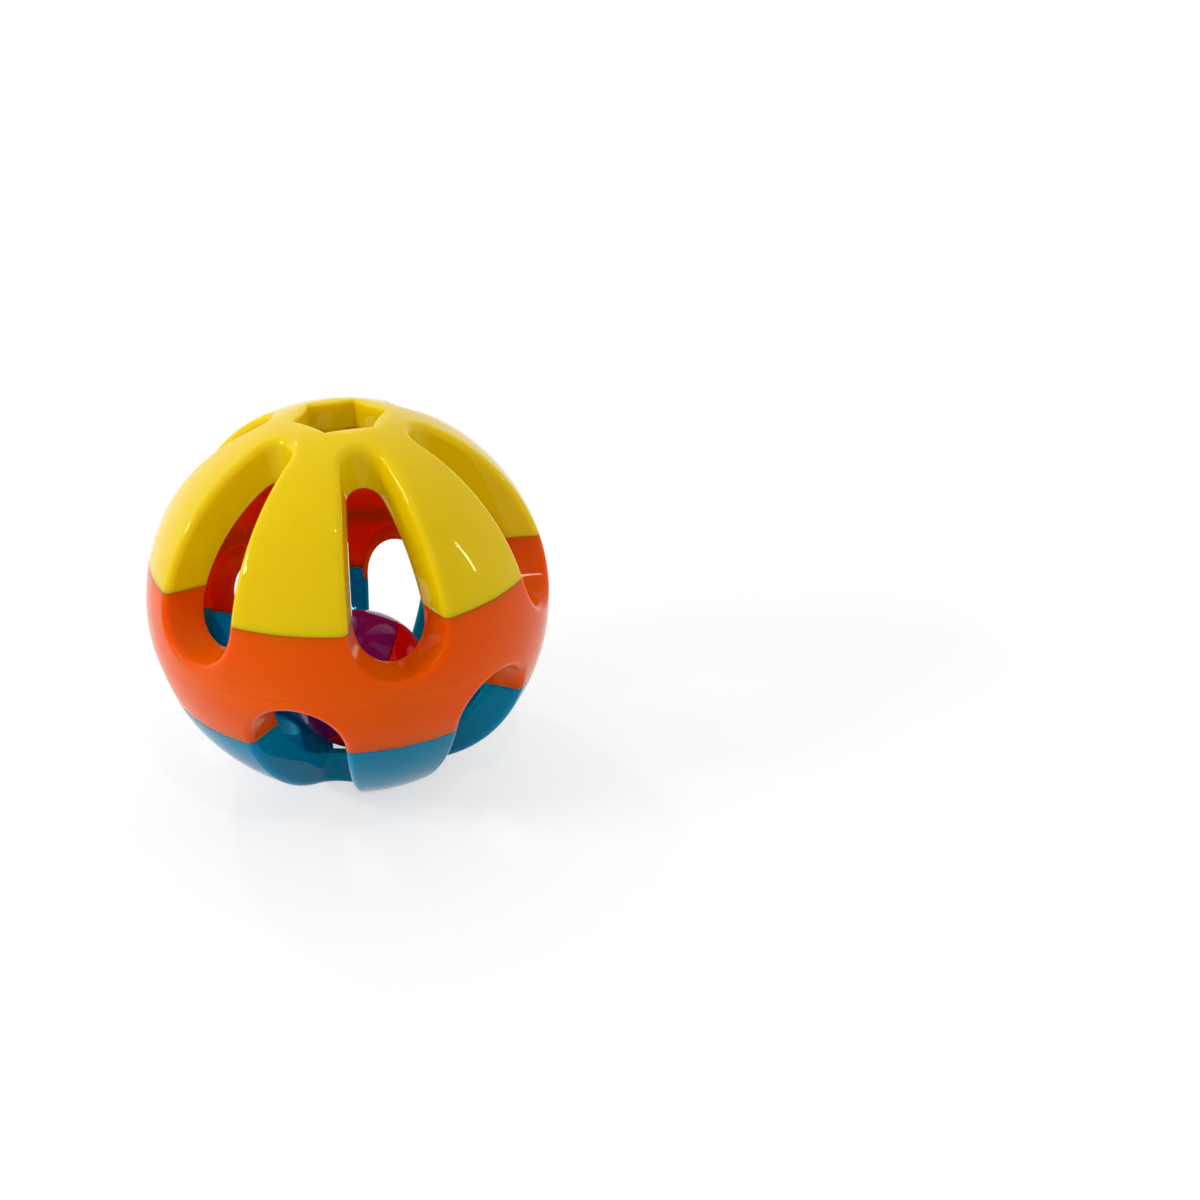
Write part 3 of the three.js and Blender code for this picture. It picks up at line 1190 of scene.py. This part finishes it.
@dataclass
class Studio:
    """Camera, soft light and a plain white floor."""

    ground: float
    camera_place: Vector = Vector((-33.497, -170.093, 94.127)) * MM
    camera_along: Vector = Vector((0.35206, 0.80092, -0.48433))
    camera_right: Vector = Vector((0.92108, -0.38842, 0.02722))
    lens: float = 37.89
    sensor: float = 36.0
    clip_start: float = 0.01
    floor_size: float = 6.0
    floor_colour: str = "#e6e6e4"
    floor_seen_colour: str = "#b4b4b3"
    floor_lift: float = 0.6
    floor_clear: tuple[float, float] = (0.12, 0.32)
    fill_from: tuple[float, float, float] = (-0.15, -0.95, -0.10)
    fill_levels: tuple[float, float] = (0.05, 1.2)
    boxes: tuple[SoftBox, ...] = (
        SoftBox("key light", -0.71, 0.28, 0.40, width=0.30, height=0.05, level=0.40),
        SoftBox("front light", 0.16, 0.75, 0.59, width=0.10, height=0.04, level=0.15),
        SoftBox("top light", 0.21, 0.37, 0.79, width=0.03, height=0.06, level=0.07),
        SoftBox("side light", 0.74, 0.02, 0.32, width=0.014, height=0.24, level=0.06),
        SoftBox("back light", -0.40, -0.46, 0.67, width=0.04, height=0.04, level=0.08),
    )

    def camera(self) -> None:
        """Set up the camera at the photo's viewing angle."""
        along = self.camera_along.normalized()
        right = (self.camera_right - along * self.camera_right.dot(along)).normalized()
        up = right.cross(along)
        data = bpy.data.cameras.new("camera")
        data.lens = self.lens
        data.sensor_width = self.sensor
        data.clip_start = self.clip_start
        camera = bpy.data.objects.new("camera", data)
        turn = Matrix((right, up, -along)).transposed().to_4x4()
        camera.matrix_world = Matrix.Translation(self.camera_place) @ turn
        bpy.context.scene.collection.objects.link(camera)
        bpy.context.scene.camera = camera

    def as_seen(self, right: float, nearer: float, above: float) -> Vector:
        """Turn distances as the camera sees them into a place.

        Args:
            right: distance to the camera's right.
            nearer: distance towards the camera, along the floor.
            above: distance upwards.

        Returns:
            The place, measured from the middle of the ball.
        """
        rightwards = Vector((self.camera_right.x, self.camera_right.y, 0)).normalized()
        towards = Vector((-self.camera_along.x, -self.camera_along.y, 0)).normalized()
        return rightwards * right + towards * nearer + Vector((0, 0, above))

    def lights(self) -> None:
        """Set up the soft boxes, each aimed at the ball."""
        for box in self.boxes:
            place = self.as_seen(box.right, box.nearer, box.above)
            data = bpy.data.lights.new(box.name, "AREA")
            data.shape = "RECTANGLE"
            data.size = box.width
            data.size_y = box.height
            data.energy = box.level * math.pi**2 * place.length_squared
            light = bpy.data.objects.new(box.name, data)
            aim = place.to_track_quat("Z", "Y").to_matrix().to_4x4()
            light.matrix_world = Matrix.Translation(place) @ aim
            bpy.context.scene.collection.objects.link(light)

    def seen(self, tree: bpy.types.NodeTree) -> bpy.types.NodeSocket:
        """Tell rays by which the background is seen from rays that only light the ball.

        Args:
            tree: nodes of the floor's material or the world.

        Returns:
            A socket that gives 1 for the first and 0 for the others.
        """
        path = add_node(tree, "ShaderNodeLightPath")
        mirrored = add_node(
            tree,
            "ShaderNodeMath",
            {0: path.outputs["Is Glossy Ray"], 1: path.outputs["Is Transmission Ray"]},
            operation="MAXIMUM",
        )
        seen = add_node(
            tree,
            "ShaderNodeMath",
            {0: path.outputs["Is Camera Ray"], 1: mirrored.outputs[0]},
            operation="MAXIMUM",
        )
        return seen.outputs[0]

    def surroundings(self) -> None:
        """Set up the world: white where it is seen, elsewhere a soft fill that is strongest from behind."""
        world = bpy.data.worlds.new("white room")
        world.use_nodes = True
        tree = world.node_tree
        tree.nodes.clear()
        way = add_node(tree, "ShaderNodeTexCoord").outputs["Generated"]
        bright_way = self.as_seen(*self.fill_from).normalized()
        towards = add_node(tree, "ShaderNodeVectorMath", {0: way, 1: bright_way}, operation="DOT_PRODUCT")
        fill = add_node(
            tree,
            "ShaderNodeMapRange",
            {
                "Value": towards.outputs["Value"],
                "From Min": -1.0,
                "From Max": 1.0,
                "To Min": self.fill_levels[0],
                "To Max": self.fill_levels[1],
            },
        )
        strength = add_node(
            tree,
            "ShaderNodeMapRange",
            {"Value": self.seen(tree), "To Min": fill.outputs["Result"], "To Max": 1.0},
        )
        white = add_node(
            tree, "ShaderNodeBackground", {"Color": WHITE, "Strength": strength.outputs["Result"]}
        )
        add_node(tree, "ShaderNodeOutputWorld", {"Surface": white.outputs[0]})
        bpy.context.scene.world = world

    def floor(self) -> None:
        """Lay the floor under the ball: white where it is seen, but with the ball's shadow near it."""
        put_down()
        bpy.ops.mesh.primitive_plane_add(size=self.floor_size, location=(0, 0, self.ground))
        floor = bpy.context.object
        floor.name = "floor"
        material = bpy.data.materials.new("white paper floor")
        material.use_nodes = True
        tree = material.node_tree
        tree.nodes.clear()
        seen = self.seen(tree)
        colour = add_node(
            tree,
            "ShaderNodeMix",
            {
                MIX_SHARE: seen,
                MIX_FIRST: linear(self.floor_colour),
                MIX_SECOND: linear(self.floor_seen_colour),
            },
            data_type="RGBA",
        )
        paper = add_node(tree, "ShaderNodeBsdfDiffuse", {"Color": colour.outputs[MIX_RESULT]})
        lift = add_node(tree, "ShaderNodeMath", {0: seen, 1: self.floor_lift}, operation="MULTIPLY")
        glow = add_node(tree, "ShaderNodeEmission", {"Color": WHITE, "Strength": lift.outputs[0]})
        near = add_node(tree, "ShaderNodeAddShader", {0: paper.outputs[0], 1: glow.outputs[0]})
        place = add_node(tree, "ShaderNodeTexCoord").outputs["Object"]
        away = add_node(tree, "ShaderNodeVectorMath", {0: place}, operation="LENGTH")
        clear = add_node(
            tree,
            "ShaderNodeMapRange",
            {
                "Value": away.outputs["Value"],
                "From Min": self.floor_clear[0],
                "From Max": self.floor_clear[1],
            },
            interpolation_type="SMOOTHSTEP",
        )
        far = add_node(tree, "ShaderNodeMath", {0: seen, 1: clear.outputs["Result"]}, operation="MULTIPLY")
        white = add_node(tree, "ShaderNodeEmission", {"Color": WHITE, "Strength": 1.0})
        both = add_node(
            tree, "ShaderNodeMixShader", {0: far.outputs[0], 1: near.outputs[0], 2: white.outputs[0]}
        )
        add_node(tree, "ShaderNodeOutputMaterial", {"Surface": both.outputs[0]})
        floor.data.materials.append(material)

    def build(self) -> None:
        """Set up all of the studio."""
        self.camera()
        self.lights()
        self.surroundings()
        self.floor()
        bpy.context.scene.view_settings.view_transform = "Standard"


def main() -> None:
    """Build the ball's pieces and the studio."""
    logging.basicConfig(level=logging.INFO, format="%(message)s")
    finishes = (YELLOW, ORANGE, TEAL, RED, PURPLE, IVORY)
    materials = {finish: finish.material() for finish in finishes}
    Cage().build(materials)
    Capsule().build(materials)
    Pellets().build(materials)
    Studio(ground=CAD_BOUNDS[0][2]).build()
    put_down()


if __name__ == "__main__":
    main()
